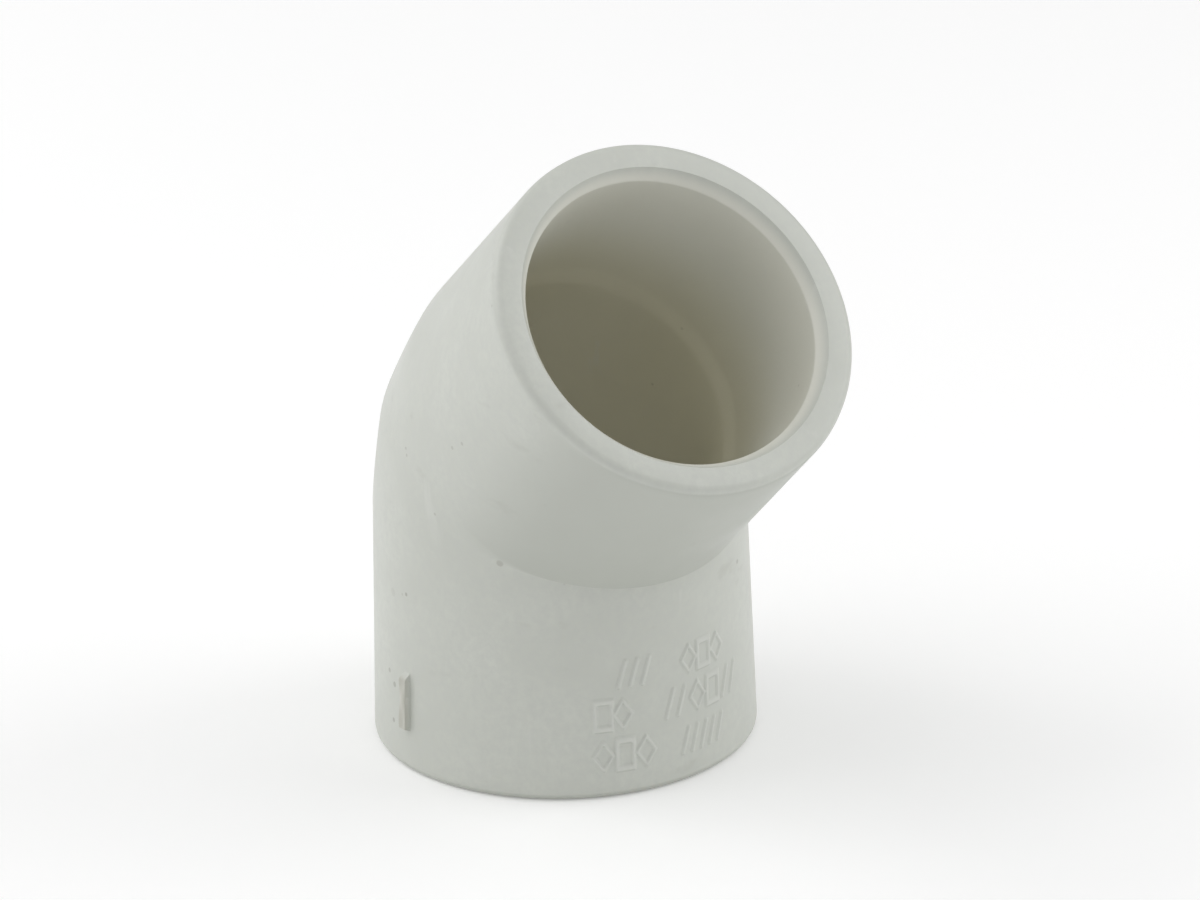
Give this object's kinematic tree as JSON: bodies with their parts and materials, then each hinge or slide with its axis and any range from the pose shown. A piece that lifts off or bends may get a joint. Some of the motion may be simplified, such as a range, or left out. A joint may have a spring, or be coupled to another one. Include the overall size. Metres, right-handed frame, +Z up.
{
  "type": "pipe elbow",
  "caption": "Moulded PVC 45 degree elbow with plain solvent-weld sockets, lead-in chamfers, conical pipe stops, a sharp throat crease and a thickened heel with three soft corners.",
  "frame": {"origin": "centre of the bounding box's footprint, on the surface that the lower mouth stands on", "axes": "+Z up along the lower socket's axis, which is at x = -8.2 mm, y = 0; the upper socket leans 45 degrees from +Z towards +X; both sockets' axes lie in the plane y = 0; the gate tab is on the -Y side"},
  "size_m": [0.0592, 0.0424, 0.0709],
  "materials": {
    "pvc_off_white": "satin, as moulded"
  },
  "bodies": {
    "root": {"elbow_body": "pvc_off_white"}
  },
  "joints": []
}
